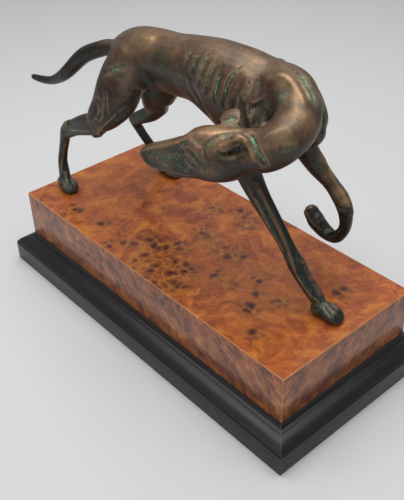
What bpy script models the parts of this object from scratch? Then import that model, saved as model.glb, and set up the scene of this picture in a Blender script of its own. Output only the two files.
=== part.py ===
"""A lean hound looking back along its own flank, one bronze casting, on a burl-veneered
block that sits on a black moulded base. Metres, +Z up, +X from the rump to the chest.
The origin is the middle of the base's underside."""

import math

import bmesh
import bpy
import numpy as np
from mathutils import Matrix

# Driving dimensions
HOUND_HEIGHT = 0.169  # block top to the top of the neck
BLOCK_END_MARGIN = 0.0052  # block beyond the farthest paw, at each end
BLOCK_SIDE_MARGIN = 0.0115  # block beyond the farthest paw, at each side
BLOCK_HEIGHT = 0.0427
BLOCK_EASING = 0.0006  # rounding of the block's veneered edges
COVE_REACH = 0.0046  # hollow at the block's foot
COVE_DROP = 0.0043
STEP_HEIGHT = 0.0007  # fillet under the cove
OVOLO_REACH = 0.0092  # swelling between the fillet and the fascia
OVOLO_DROP = 0.0072
OVOLO_BULGE = 0.0012
CURVE_SEGMENTS = 8
GROOVE_HEIGHT = 0.0009  # groove over the fascia
GROOVE_DEPTH = 0.0008
FASCIA_HEIGHT = 0.0177
PIECE_GAP = 0.0003  # clearance where one piece rests on another

# The hound's own shape is drawn in millimetres, 169 high, from the middle of the block's
# top: x to the chest, y to the hound's left, z up.
DRAWN_HEIGHT = 169.0
LOFT_STEPS = 6  # sections between two rows of a table
LOFT_SIDES = 28
DOME_STEPS = 3
DOME_REACH = 0.8  # length of a shell's rounded end, as a share of its half width
FUSE_VOXEL = 0.0011
CARVED_VOXEL = 0.0009
SMOOTH_FACTOR = 0.5
BLEND_PASSES = 7
JOINT_PASSES = 45
JOINT_STRENGTH = 1.6  # smoothing at a joint's middle; full wherever this falls to 1 or more
STROKE_STEPS = 10
HOUND_TRIANGLES = 9400

TORSO = [  # x, y, z, half width, rise above, drop below
    (-108, 9, 129, 8, 8, 10),
    (-101, 9, 131, 15, 11, 18),
    (-84, 10, 136, 21, 17, 26),
    (-63, 10, 138, 22, 20, 28),
    (-35, 11, 139, 21, 22, 27),
    (-14, 12, 141, 21, 24, 28),
    (10, 13, 141, 23, 28, 36),
    (35, 15, 138, 25, 31, 44),
    (58, 17, 137, 25, 29, 50),
    (76, 18, 134, 22, 29, 46),
    (90, 18, 128, 15, 24, 35),
    (97, 18, 122, 8, 14, 18),
]
NECK = [  # x, y, z, half height, half thickness
    (54, 17, 148, 18, 20),
    (74, 17, 151, 16, 18),
    (88, 11, 149, 15, 16),
    (99, 0, 142, 15, 16),
    (99, -13, 133, 15, 16),
    (91, -21, 126, 15, 15),
    (80, -25, 124, 14, 14),
]
HEAD_BACK = (76, -26, 131)  # between the ears
HEAD_WAY = (-0.845, -0.42, -0.33)  # towards the nose
SKULL = [  # reach from HEAD_BACK, then the section's top, its upper edge, its side and its foot
    (-8, 4, (6, 2), (13, -7), -22),
    (4, 8, (7, 5), (14.5, -8), -26),
    (16, 10.5, (8, 8), (14.5, -9), -29.5),
    (27, 12.5, (8, 9.5), (13, -9), -29),
    (35, 11.3, (7, 9), (11, -8), -26),
    (42, 8.2, (5.5, 6.8), (9, -8), -22),
    (50, 6.3, (4.6, 5.4), (7.6, -9), -18.5),
    (62, 5.4, (4.3, 4.8), (7, -7), -16),
    (71, 5.6, (4, 4.9), (6.2, -4), -11.5),
    (77.5, 5.3, (3.4, 4.4), (5, -1), -6.5),
    (80.5, 3.8, (2.2, 3), (3.4, 0.6), -2),
]
CHEEK_WIDTH, CHEEK_DROP = 0.72, 0.75  # the point between a section's side and foot, as shares
JAW = [  # reach, rise of the centre, half width, half height
    (14, -20, 10, 9),
    (28, -21, 9, 7.5),
    (42, -19.5, 6, 4.6),
    (52, -18.3, 4.8, 3.8),
    (60, -17.3, 4, 3.4),
    (65, -16, 3, 2.6),
]
TAIL = [  # x, y, z, half width, half depth
    (-98, 9, 130, 7, 7),
    (-112, 5, 130.5, 7, 7),
    (-123, 1, 127, 6.9, 6.9),
    (-140, -5, 118, 7, 7),
    (-157, -12, 101, 6.2, 6.2),
    (-169, -14, 92, 5.2, 5.2),
    (-181, -16, 86, 4.1, 4.1),
    (-194, -18, 83.5, 3.7, 3.7),
    (-206, -20, 83, 3, 3),
]
FLANKS = [  # x, distance out from the loin's middle plane, z, half width, half depth
    (-56, 8, 140, 8, 16),
    (-54, 10, 129, 7, 14),
    (-58, 13, 120, 5, 10),
]
LOIN_MIDDLE = 10
RIGHT_THIGH = [
    (-72, -4, 138, 12, 20),
    (-74, -12, 122, 13, 23),
    (-77, -18, 108, 13, 22),
    (-84, -24, 94, 10, 17),
    (-93, -28, 83, 8, 12),
    (-97, -29, 77, 6, 8),
]
RIGHT_SHANK = [
    (-94, -29, 80, 6.5, 10),
    (-110, -30, 73, 6, 9.5),
    (-126, -30, 65, 5, 8),
    (-138, -30, 58, 4.5, 7.5),
    (-144, -30, 55, 4, 6),
]
RIGHT_HIND_CANNON = [
    (-143, -30, 57, 4.5, 5.5),
    (-147, -31, 43, 4, 4.6),
    (-150, -32, 32, 3.8, 4.4),
    (-150, -34, 22, 4, 4.7),
    (-146, -36, 12, 5, 6),
]
LEFT_THIGH = [
    (-68, 24, 138, 12, 20),
    (-75, 29, 121, 13, 23),
    (-86, 31, 104, 12, 25),
    (-92, 32, 88, 11, 21),
    (-93, 33, 77, 7.5, 14),
]
LEFT_SHANK = [
    (-88, 35, 77, 6.5, 8.5),
    (-100, 34, 66, 6, 8),
    (-113, 33, 58, 5, 7),
    (-129, 33, 49, 4.5, 6),
]
LEFT_HIND_CANNON = [
    (-129, 33, 50, 4.5, 5.5),
    (-121, 36, 37, 4, 5),
    (-112, 40, 24, 4.2, 4.8),
    (-103, 44, 10, 5.5, 6),
]
RIGHT_FORELEG = [
    (50, -3, 108, 12, 18),
    (58, -5, 93, 9, 12),
    (68, -4, 77, 7.5, 9),
    (82, -4, 63, 6.5, 7.5),
    (96, -3, 47, 5.5, 6.4),
    (108, -2, 32, 5.2, 6),
    (118, -1, 20, 5, 5.4),
    (128, 0, 11, 6, 5),
]
LEFT_FORELEG = [
    (62, 26, 130, 12, 18),
    (69, 31, 115, 10, 15),
    (77, 37, 98, 8, 10),
    (85, 41, 86, 7, 8),
    (95, 45, 75, 5.5, 6.3),
    (104, 47, 65, 6, 7),
    (109.5, 47, 54, 5, 6),
    (110, 47, 42, 4.6, 4.8),
    (103.5, 47, 30.5, 5.2, 5),
    (94, 47, 29, 6, 5),
    (84.5, 46, 35, 7, 5.4),
    (76.5, 46, 43.5, 6, 4),
]
SHOULDER_BLADE = [  # x, distance out from the shoulders' middle plane, z, half width, half depth
    (50, 14, 156, 6, 8),
    (57, 18, 145, 7, 12),
    (65, 21, 130, 8, 13),
    (71, 22, 117, 8, 11),
]
RIGHT_UPPER_ARM = [
    (74, -4, 116, 8, 10),
    (66, -4, 107, 9, 12),
    (57, -3, 97, 8, 11),
]
SHOULDER_MIDDLE = 17
LEFT_EAR_RIM = [  # reach, out, rise on the head, half width, half depth
    (16, 11.5, -0.5, 2, 2.4),
    (10, 12.5, 2, 2.4, 3),
    (3, 12.5, 5, 2.8, 3.4),
    (-4, 12, 6.4, 3, 3.4),
    (-8.5, 12, 2.5, 2.6, 3.4),
    (-10.5, 13, -4, 2.4, 3.2),
    (-12.5, 12.5, -13, 2, 2.6),
    (-14, 11, -19, 1.6, 1.8),
]
RIGHT_EAR = [  # the same
    (9, -7, 8, 8.5, 3),
    (10, -13, 11.5, 9, 2.6),
    (11, -17.5, 13.5, 7.5, 2),
]
PAW_LENGTH, PAW_WIDTH, PAW_HEIGHT = 26, 17, 13
PAW_SECTIONS = [  # shares of the half length from the middle, the width and the height
    (-0.75, 0.62, 0.7),
    (-0.1, 0.85, 0.95),
    (0.45, 1, 0.8),
    (0.85, 0.8, 0.5),
]
PAW_SINK = 0.5  # how far a paw's shell dips below the ground before its sole is cut flat
PAWS = [  # middle of each standing paw, and the way it points
    (137, 0, (1, 0.15)),
    (-141, -38, (1, -0.1)),
    (-96, 46, (1, 0.2)),
]
TOE_GAPS = (-4.2, 0, 4.2)  # sideways places of the grooves between toes
TOE_GROOVE = (1.3, -1.2)  # spread and rise
TOE_LINE = [  # shares of the paw's length forward, its height and the gap's sideways place
    (0.52, 0.45, 1),
    (0.31, 0.77, 0.85),
    (0.1, 0.85, 0.7),
]
SOFT_JOINTS = [  # x, y, z and radius of the places where limbs flow into the body
    (-66, -8, 132, 30),
    (-62, 26, 132, 30),
    (-50, -4, 118, 20),
    (-50, 24, 118, 20),
    (-104, 9, 132, 14),
    (62, -4, 104, 20),
    (62, 36, 108, 20),
    (58, 12, 156, 22),
    (84, 10, 126, 18),
    (84, -24, 126, 12),
    (-93, -29, 80, 10),
    (-88, 35, 78, 10),
]
BODY_STROKES = [  # spread, rise (cut when negative), then points near the surface
    (5, -1.6, [(-12, -12, 152), (-5, -12, 140), (2, -12, 126), (10, -10, 112)]),
    (3.2, -2.4, [(64, -2, 160), (66, -6, 150), (70, -10, 140), (72, -12, 130)]),
    (4, 1.3, [(70, 0, 166), (82, 6, 168), (94, 2, 165), (104, -6, 158), (108, -14, 148), (98, -26, 140)]),
    (2.4, -1.0, [(84, 24, 166), (94, 22, 160), (102, 16, 152)]),
    (1.8, -1.1, [(96, 30, 154), (104, 22, 144), (108, 12, 132), (102, 4, 116), (92, -8, 106)]),
    (2.2, -0.9, [(-84, -26, 128), (-78, -28, 131), (-64, -26, 131)]),
    (1.8, -1.0, [(-86, -36, 104), (-86, -37, 96), (-92, -36, 88)]),
    (1.8, -1.0, [(-80, -37, 106), (-84, -38, 92)]),
    (2.5, 1.0, [(-56, -2, 156), (-50, 0, 157)]),
]
RIBS = [  # x at mid-side, top and foot of the groove
    (-4, 160, 153),
    (5.5, 160, 149),
    (14.5, 162, 141),
    (23.5, 161, 138),
    (32, 158, 134),
    (41, 161, 134),
    (50, 156, 134),
]
RIB_GROOVE = (1.7, -1.4)  # spread and rise
RIB_SLANT = 0.16  # how far a groove leans forward for each unit of rise
RIB_MIDDLE = (14, 148)  # y and z of the middle of the rib cage
RIB_REACH = 24
FACE_STROKES = [  # spread, rise, then reach, out and rise on the head; cut on both sides
    (1.5, 0.6, [(76, 4, 4.7), (63, 4.5, 5.6), (52, 5, 5.8), (43, 5.5, 6.7)]),
    (1.8, -1.2, [(41.5, 7, 5.2), (38.5, 7.5, 5.6)]),
    (2.0, 0.9, [(35, 6.5, 9), (31, 9, 5.5), (27, 11, 1.5), (25.5, 12.5, -5)]),
    (2.4, -1.0, [(37.5, 9, 0), (34.5, 10.5, -5), (30, 12, -9), (19, 13.5, -13.5)]),
    (1.8, 0.8, [(40.5, 8, 0.5), (40, 9, -6.4), (41, 9, -11), (45, 8.5, -14.5)]),
    (4.5, -0.9, [(66, 7, -3), (53, 7.5, -5), (47, 8, -5.5)]),
    (1.6, 0.6, [(76.5, 5, -3.5), (73, 5.5, -8), (67.5, 6.5, -12), (56, 7, -15), (46, 8, -18)]),
]
EAR_STROKES = [
    (2.0, -1.2, [(24, 12, 0.5), (17, 11.5, 4.5), (9, 10, 7.5), (1, 8.5, 9), (-6, 7.5, 8.5)]),
    (2.2, -1.3, [(-9.5, 9, 8), (-13, 12, 2), (-14, 13.5, -4), (-16, 13, -12)]),
    (2.8, -2.6, [(9, 15, -2.5), (2, 15, -0.5), (-5, 15, 0)]),
    (3.2, -1.6, [(2, 15, -5), (-6, 15, -5)]),
    (1.8, -1.2, [(22, -11, 10), (10, -9, 13), (1, -10, 9)]),
]


def unit(vector):
    """The same direction at a length of 1."""
    return np.asarray(vector, float) / np.linalg.norm(vector)


def smooth_rows(rows, steps=LOFT_STEPS):
    """Rows of numbers read as one smooth curve through them all."""
    rows = np.array(rows, float)
    padded = np.vstack([2 * rows[0] - rows[1], rows, 2 * rows[-1] - rows[-2]])
    found = []
    for i in range(len(rows) - 1):
        a, b, c, d = padded[i : i + 4]
        for t in np.arange(steps) / steps:
            cubic = -a + 3 * b - 3 * c + d
            square = 2 * a - 5 * b + 4 * c - d
            found.append(0.5 * (2 * b + (c - a) * t + square * t**2 + cubic * t**3))
    found.append(rows[-1])
    return np.array(found)


def add_shell(bm, rows, side=(0, 1, 0), keel=0.0):
    """A closed shell lofted through rows of x, y, z, half width and half depth, above and below.
    keel draws the section in below its middle, as on a deep narrow chest."""
    line = smooth_rows(rows)
    if line.shape[1] == 5:
        line = np.hstack([line, line[:, 4:]])
    centres, sizes = line[:, :3], line[:, 3:]
    along = np.gradient(centres, axis=0)
    rings = []
    ends = [math.pi / 2 * k / (DOME_STEPS + 1) for k in range(DOME_STEPS, 0, -1)]
    for i in range(len(line)):
        t = unit(along[i])
        across = unit(np.asarray(side, float) - np.dot(side, t) * t)
        up = np.cross(t, across)
        rings.append((centres[i], across, up, sizes[i]))

    def domed(ring, t, angles):
        centre, across, up, size = ring
        reach = DOME_REACH * min(size[0], size[1:].mean())
        return [
            (centre + t * reach * math.sin(a), across, up, size * math.cos(a))
            for a in angles
        ]

    first = domed(rings[0], -unit(along[0]), ends)
    last = domed(rings[-1], unit(along[-1]), ends[::-1])
    tips = [
        rings[0][0] - unit(along[0]) * DOME_REACH * min(sizes[0][0], sizes[0][1:].mean()),
        rings[-1][0] + unit(along[-1]) * DOME_REACH * min(sizes[-1][0], sizes[-1][1:].mean()),
    ]
    loops = []
    for centre, across, up, (wide, above, below) in first + rings + last:
        loop = []
        for k in range(LOFT_SIDES):
            angle = 2 * math.pi * k / LOFT_SIDES
            rise = math.sin(angle)
            width = wide * (1 + keel * min(rise, 0))
            reach = above if rise > 0 else below
            place = centre + across * width * math.cos(angle) + up * reach * rise
            loop.append(bm.verts.new(place))
        loops.append(loop)
    for a, b in zip(loops, loops[1:]):
        for k in range(LOFT_SIDES):
            n = (k + 1) % LOFT_SIDES
            bm.faces.new((a[k], b[k], b[n], a[n]))
    for tip, loop in zip(tips, (loops[0], loops[-1])):
        pole = bm.verts.new(tip)
        for k in range(LOFT_SIDES):
            bm.faces.new((loop[k], loop[(k + 1) % LOFT_SIDES], pole))


def head_axes():
    """The head's own directions: along to the nose, out to its left, and up."""
    along = unit(HEAD_WAY)
    left = unit(np.cross((0, 0, 1), along))
    up = np.cross(along, left)
    return along, left, up


def on_head(reach, out, rise):
    along, left, up = head_axes()
    return np.array(HEAD_BACK) + along * reach + left * out + up * rise


def head_section(reach, top, edge, side, foot):
    """One closed section of the skull and muzzle, from half of it drawn in five points."""
    cheek = (CHEEK_WIDTH * side[0], (1 - CHEEK_DROP) * side[1] + CHEEK_DROP * foot)
    half = [(0, top), edge, side, cheek, (0, foot)]
    half = smooth_rows(half, 4)
    other = half[-2:0:-1] * (-1, 1)
    return [on_head(reach, out, rise) for out, rise in np.vstack([half, other])]


def add_sections(bm, loops):
    """A closed shell through loops of as many points each."""
    rings = [[bm.verts.new(p) for p in loop] for loop in loops]
    count = len(rings[0])
    for a, b in zip(rings, rings[1:]):
        for k in range(count):
            n = (k + 1) % count
            bm.faces.new((a[k], b[k], b[n], a[n]))
    bm.faces.new(rings[0])
    bm.faces.new(rings[-1][::-1])


def add_head(bm):
    flat = [(r, t, *e, *s, f) for r, t, e, s, f in SKULL]
    line = smooth_rows(flat, 3)
    add_sections(bm, [head_section(r, t, (a, b), (c, d), f) for r, t, a, b, c, d, f in line])
    jaw = [(*on_head(reach, 0, rise), wide, tall) for reach, rise, wide, tall in JAW]
    add_shell(bm, jaw, side=head_axes()[1])


def add_paw(bm, x, y, way):
    along = unit((*way, 0))
    half = PAW_LENGTH / 2
    rows = []
    for share, wide, tall in PAW_SECTIONS:
        centre = np.array((x, y, 0)) + along * share * half
        high = PAW_HEIGHT * tall / 2
        rows.append((centre[0], centre[1], high - PAW_SINK, PAW_WIDTH / 2 * wide, high, high))
    add_shell(bm, rows, side=(-along[1], along[0], 0))


def new_material(name, colour, roughness, metallic=0.0):
    material = bpy.data.materials.new(name)
    material.use_nodes = True
    shader = material.node_tree.nodes["Principled BSDF"]
    shader.inputs["Base Color"].default_value = (*colour, 1)
    shader.inputs["Roughness"].default_value = roughness
    shader.inputs["Metallic"].default_value = metallic
    return material


def new_object(name, bm, material):
    mesh = bpy.data.meshes.new(name)
    bmesh.ops.recalc_face_normals(bm, faces=bm.faces)
    bm.to_mesh(mesh)
    bm.free()
    obj = bpy.data.objects.new(name, mesh)
    obj.data.materials.append(material)
    bpy.context.scene.collection.objects.link(obj)
    return obj


def evaluated_mesh(obj):
    bpy.context.view_layer.update()
    graph = bpy.context.evaluated_depsgraph_get()
    return bpy.data.meshes.new_from_object(obj.evaluated_get(graph))


def bake_modifiers(obj):
    mesh = evaluated_mesh(obj)
    obj.modifiers.clear()
    obj.data = mesh


def vertex_places(mesh):
    places = np.empty(len(mesh.vertices) * 3, np.float32)
    mesh.vertices.foreach_get("co", places)
    return places.reshape(-1, 3).astype(float)


def vertex_normals(mesh):
    normals = np.empty(len(mesh.vertices) * 3, np.float32)
    mesh.vertices.foreach_get("normal", normals)
    return normals.reshape(-1, 3).astype(float)


def soften_joints(obj, place, scale):
    """Smooth the mesh most where a limb flows into the body."""
    group = obj.vertex_groups.new(name="joints")
    places = vertex_places(obj.data)
    weight = np.zeros(len(places))
    for x, y, z, radius in SOFT_JOINTS:
        reach = radius * scale
        distance = np.linalg.norm(places - place((x, y, z)), axis=1) / reach
        weight = np.maximum(weight, np.clip(JOINT_STRENGTH * (1 - distance), 0, 1))
    for level in range(1, 11):
        chosen = np.flatnonzero(np.round(weight * 10) == level)
        group.add([int(i) for i in chosen], level / 10, "REPLACE")
    soften = obj.modifiers.new("soften", "SMOOTH")
    soften.factor = SMOOTH_FACTOR
    soften.iterations = JOINT_PASSES
    soften.vertex_group = group.name


def stroke(obj, points, spread, rise):
    """Draw a ridge, or a groove where rise is negative, along a curve on the surface."""
    places = vertex_places(obj.data)
    normals = vertex_normals(obj.data)
    points = np.array(points, float)
    nearest = [np.argmin(((places - p) ** 2).sum(axis=1)) for p in points]
    line = smooth_rows(places[nearest], STROKE_STEPS)
    distance = np.full(len(places), np.inf)
    for point in line:
        distance = np.minimum(distance, ((places - point) ** 2).sum(axis=1))
    push = rise * np.exp(-distance / spread**2)
    push[distance > 9 * spread**2] = 0
    moved = places + normals * push[:, None]
    obj.data.vertices.foreach_set("co", moved.astype(np.float32).ravel())
    obj.data.update()


def rib_points(rib, side):
    x, top, foot = rib
    middle_y, middle_z = RIB_MIDDLE
    heights = np.linspace(top, foot, 4)
    return [(x + RIB_SLANT * (z - middle_z), middle_y + side * RIB_REACH, z) for z in heights]


def toe_points(x, y, way, gap):
    along = unit((*way, 0))
    across = np.array((-along[1], along[0], 0))
    return [
        np.array((x, y, high * PAW_HEIGHT)) + along * ahead * PAW_LENGTH + across * gap * aside
        for ahead, high, aside in TOE_LINE
    ]


def carve(obj, place, scale):
    """Cut the muscle lines, ribs, face, ears and toes."""

    def draw(spread, rise, points):
        stroke(obj, [place(p) for p in points], spread * scale, rise * scale)

    for spread, rise, points in BODY_STROKES:
        draw(spread, rise, points)
    for rib in RIBS:
        for side in (-1, 1):
            draw(*RIB_GROOVE, rib_points(rib, side))
    for spread, rise, points in FACE_STROKES:
        for side in (-1, 1):
            draw(spread, rise, [on_head(reach, side * out, up) for reach, out, up in points])
    for spread, rise, points in EAR_STROKES:
        draw(spread, rise, [on_head(*p) for p in points])
    for x, y, way in PAWS:
        for gap in TOE_GAPS:
            draw(*TOE_GROOVE, toe_points(x, y, way, gap))


def mirrored(rows, side, middle):
    return [(x, middle + side * out, z, *size) for x, out, z, *size in rows]


def build_hound(ground):
    scale = HOUND_HEIGHT / DRAWN_HEIGHT

    def place(point):
        return np.array(point, float) * scale + (0, 0, ground)

    bm = bmesh.new()
    add_shell(bm, TORSO, keel=0.25)
    add_shell(bm, NECK, side=(0, 0, 1))
    add_head(bm)
    add_shell(bm, [(*on_head(*row[:3]), *row[3:]) for row in LEFT_EAR_RIM], side=(0, 0, 1))
    add_shell(bm, [(*on_head(*row[:3]), *row[3:]) for row in RIGHT_EAR], side=HEAD_WAY)
    add_shell(bm, TAIL)
    for limb in (RIGHT_THIGH, RIGHT_SHANK, RIGHT_HIND_CANNON, RIGHT_UPPER_ARM, RIGHT_FORELEG):
        add_shell(bm, limb)
    for limb in (LEFT_THIGH, LEFT_SHANK, LEFT_HIND_CANNON, LEFT_FORELEG):
        add_shell(bm, limb)
    for side in (-1, 1):
        add_shell(bm, mirrored(FLANKS, side, LOIN_MIDDLE))
        add_shell(bm, mirrored(SHOULDER_BLADE, side, SHOULDER_MIDDLE))
    for x, y, way in PAWS:
        add_paw(bm, x, y, way)
    size = Matrix.Translation((0, 0, ground)) @ Matrix.Scale(scale, 4)
    bmesh.ops.transform(bm, matrix=size, verts=bm.verts)
    bronze = new_material("patinated_bronze", (0.12, 0.09, 0.065), 0.42, 0.85)
    hound = new_object("hound", bm, bronze)
    fuse = hound.modifiers.new("fuse", "REMESH")
    fuse.mode = "VOXEL"
    fuse.voxel_size = FUSE_VOXEL
    blend = hound.modifiers.new("blend", "SMOOTH")
    blend.factor = SMOOTH_FACTOR
    blend.iterations = BLEND_PASSES
    bake_modifiers(hound)
    soften_joints(hound, place, scale)
    bake_modifiers(hound)
    carve(hound, place, scale)
    fuse_again = hound.modifiers.new("fuse_again", "REMESH")
    fuse_again.mode = "VOXEL"
    fuse_again.voxel_size = CARVED_VOXEL
    settle = hound.modifiers.new("settle", "SMOOTH")
    settle.factor = SMOOTH_FACTOR
    settle.iterations = 1
    bake_modifiers(hound)
    for vertex in hound.data.vertices:
        vertex.co.z = max(vertex.co.z, ground)
    triangles = sum(len(p.vertices) - 2 for p in hound.data.polygons)
    thin = hound.modifiers.new("thin", "DECIMATE")
    thin.ratio = min(1, HOUND_TRIANGLES / triangles)
    hound.data.shade_smooth()
    return hound


def paw_reach(axis):
    """How far the farthest paw reaches from the middle, along x (0) or y (1)."""
    reaches = []
    for x, y, way in PAWS:
        along = unit((*way, 0))
        half = (PAW_LENGTH / 2, PAW_WIDTH / 2)
        reaches.append(abs((x, y)[axis]) + half[0] * abs(along[axis]) + half[1] * abs(along[1 - axis]))
    return max(reaches) * HOUND_HEIGHT / DRAWN_HEIGHT


def add_rectangle(bm, length, width, z):
    corners = ((-1, -1), (1, -1), (1, 1), (-1, 1))
    return [bm.verts.new((i * length / 2, j * width / 2, z)) for i, j in corners]


def build_block(length, width, foot):
    bm = bmesh.new()
    bmesh.ops.create_cube(bm, size=1)
    size = Matrix.Diagonal((length, width, BLOCK_HEIGHT, 1))
    place = Matrix.Translation((0, 0, foot + BLOCK_HEIGHT / 2))
    bmesh.ops.transform(bm, matrix=place @ size, verts=bm.verts)
    bmesh.ops.bevel(bm, geom=bm.edges[:], offset=BLOCK_EASING, segments=2, profile=0.5, affect="EDGES")
    veneer = new_material("burl_veneer", (0.42, 0.15, 0.04), 0.2)
    return new_object("burl_block", bm, veneer)


def base_profile(height):
    """Reach beyond the block and height of each point, from the block's foot down and out."""
    profile = []
    for k in range(CURVE_SEGMENTS + 1):
        angle = math.pi / 2 * k / CURVE_SEGMENTS
        profile.append((COVE_REACH * (1 - math.cos(angle)), height - COVE_DROP * math.sin(angle)))
    shoulder = height - COVE_DROP - STEP_HEIGHT
    chord = np.array((OVOLO_REACH, -OVOLO_DROP))
    outward = unit((OVOLO_DROP, OVOLO_REACH))
    for k in range(CURVE_SEGMENTS + 1):
        t = k / CURVE_SEGMENTS
        swell = outward * OVOLO_BULGE * 4 * t * (1 - t)
        profile.append(np.array((COVE_REACH, shoulder)) + chord * t + swell)
    full = COVE_REACH + OVOLO_REACH
    profile.append((full - GROOVE_DEPTH, FASCIA_HEIGHT + GROOVE_HEIGHT))
    profile.append((full - GROOVE_DEPTH, FASCIA_HEIGHT))
    profile.append((full, FASCIA_HEIGHT))
    profile.append((full, 0))
    return profile


def build_base(block_length, block_width, height):
    """A rectangle swept with the moulding: cove, fillet, ovolo, groove and plain fascia."""
    bm = bmesh.new()
    rings = []
    for out, z in base_profile(height):
        rings.append(add_rectangle(bm, block_length + 2 * out, block_width + 2 * out, z))
    for a, b in zip(rings, rings[1:]):
        for k in range(4):
            n = (k + 1) % 4
            bm.faces.new((a[k], b[k], b[n], a[n]))
    bm.faces.new(rings[0])
    bm.faces.new(rings[-1][::-1])
    lacquer = new_material("black_lacquer", (0.012, 0.012, 0.013), 0.35)
    return new_object("moulded_base", bm, lacquer)


def main():
    for obj in list(bpy.data.objects):
        bpy.data.objects.remove(obj)
    base_height = FASCIA_HEIGHT + GROOVE_HEIGHT + OVOLO_DROP + STEP_HEIGHT + COVE_DROP
    block_length = 2 * (paw_reach(0) + BLOCK_END_MARGIN)
    block_width = 2 * (paw_reach(1) + BLOCK_SIDE_MARGIN)
    block_foot = base_height + PIECE_GAP
    build_base(block_length, block_width, base_height)
    build_block(block_length, block_width, block_foot)
    build_hound(block_foot + BLOCK_HEIGHT + PIECE_GAP)


main()
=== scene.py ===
import math

import bpy
import numpy as np
from mathutils import Matrix, Vector


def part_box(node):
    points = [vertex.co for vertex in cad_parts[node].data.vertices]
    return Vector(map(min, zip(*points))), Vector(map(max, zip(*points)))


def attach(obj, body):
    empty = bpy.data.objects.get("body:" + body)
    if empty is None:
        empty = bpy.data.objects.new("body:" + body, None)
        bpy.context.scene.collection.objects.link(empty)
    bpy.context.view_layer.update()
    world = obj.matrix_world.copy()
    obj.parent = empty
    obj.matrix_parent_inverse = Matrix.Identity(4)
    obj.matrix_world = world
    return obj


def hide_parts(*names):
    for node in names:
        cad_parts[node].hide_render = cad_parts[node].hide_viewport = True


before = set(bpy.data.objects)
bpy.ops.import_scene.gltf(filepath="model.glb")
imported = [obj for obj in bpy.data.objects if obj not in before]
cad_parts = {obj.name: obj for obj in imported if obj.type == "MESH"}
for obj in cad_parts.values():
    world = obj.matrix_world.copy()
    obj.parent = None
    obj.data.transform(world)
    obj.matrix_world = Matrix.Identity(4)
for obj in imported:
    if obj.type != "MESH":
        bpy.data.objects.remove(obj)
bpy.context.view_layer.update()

# Moulded base. Four lengths of hardwood moulding, mitred at the corners and glued round a
# panel, then sprayed with black satin lacquer. The profile goes down and out from the block's
# foot: a cove, a small fillet, a shallow ovolo, a fine groove and a plain fascia.
MM = 0.001
BASE_LOW, BASE_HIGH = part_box("moulded_base")
BLOCK_LOW, BLOCK_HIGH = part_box("burl_block")
COVE_REACH, COVE_DROP = 4.6 * MM, 4.3 * MM
STEP_HEIGHT = 0.7 * MM
OVOLO_REACH, OVOLO_DROP, OVOLO_BULGE = 9.2 * MM, 7.2 * MM, 1.2 * MM
GROOVE_HEIGHT, GROOVE_DEPTH = 1.1 * MM, 1.0 * MM
CURVE_STEPS = 10
ARRIS_EASING = 0.18 * MM
SHARP_FROM, SMOOTH_UP_TO = math.radians(25), math.radians(35)
PEEL_SIZE, HAZE_SIZE = 1.5 * MM, 38 * MM
PEEL_DEPTH = 0.05 * MM
MITRE_INNER, MITRE_OUTER = 0.25 * MM, 0.8 * MM  # half widths of the painted highlight line along each mitred corner's arris
LACQUER_BLACK, LACQUER_HAZED, LACQUER_HIGHLIGHT_GREY = "18181A", "202023", "3A3A3C"


def start_clean():
    """Leave edit mode with nothing selected."""
    if bpy.context.object and bpy.context.object.mode != "OBJECT":
        bpy.ops.object.mode_set(mode="OBJECT")
    bpy.ops.object.select_all(action="DESELECT")


def pick(piece):
    """Select one piece alone and make it active."""
    start_clean()
    piece.select_set(True)
    bpy.context.view_layer.objects.active = piece


def apply_modifier(piece, kind, **settings):
    """Add a modifier with these settings to a piece and apply it."""
    pick(piece)
    modifier = piece.modifiers.new(kind.lower(), kind)
    for key, value in settings.items():
        setattr(modifier, key, value)
    bpy.ops.object.modifier_apply(modifier=modifier.name)


def base_profile():
    """Reach beyond the block's sides and height of each arris, from the floor up and in."""
    full = COVE_REACH + OVOLO_REACH
    shoulder = BASE_HIGH.z - COVE_DROP - STEP_HEIGHT
    fascia = shoulder - OVOLO_DROP - GROOVE_HEIGHT
    points = [(full, fascia), (full - GROOVE_DEPTH, fascia)]
    points.append((full - GROOVE_DEPTH, fascia + GROOVE_HEIGHT))
    slope = math.hypot(OVOLO_REACH, OVOLO_DROP)
    for k in range(CURVE_STEPS + 1):
        share = k / CURVE_STEPS
        swell = OVOLO_BULGE * 4 * share * (1 - share)
        out = full - OVOLO_REACH * share + swell * OVOLO_DROP / slope
        points.append((out, shoulder - OVOLO_DROP * (1 - share) + swell * OVOLO_REACH / slope))
    for k in range(CURVE_STEPS + 1):
        angle = math.pi / 2 * (1 - k / CURVE_STEPS)
        points.append((COVE_REACH * (1 - math.cos(angle)), BASE_HIGH.z - COVE_DROP * math.sin(angle)))
    return points


block_size = BLOCK_HIGH - BLOCK_LOW
base_size = BASE_HIGH - BASE_LOW
start_clean()
bpy.ops.mesh.primitive_plane_add(size=1, location=(0, 0, BASE_LOW.z))
base = bpy.context.object
base.name = "lacquered_base"
base.scale = (base_size.x, base_size.y, 1)
bpy.ops.object.transform_apply(location=True, rotation=True, scale=True)
bpy.ops.object.mode_set(mode="EDIT")
bpy.ops.mesh.select_all(action="SELECT")
now_reach, now_height = COVE_REACH + OVOLO_REACH, BASE_LOW.z
for reach, height in base_profile():
    bpy.ops.mesh.extrude_region_move(TRANSFORM_OT_translate={"value": (0, 0, height - now_height)})
    stretch = (
        (block_size.x + 2 * reach) / (block_size.x + 2 * now_reach),
        (block_size.y + 2 * reach) / (block_size.y + 2 * now_reach),
        1,
    )
    bpy.ops.transform.resize(value=stretch, center_override=(0, 0, height))
    now_reach, now_height = reach, height
bpy.ops.mesh.select_all(action="SELECT")
bpy.ops.mesh.normals_make_consistent(inside=False)
bpy.ops.object.mode_set(mode="OBJECT")
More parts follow.
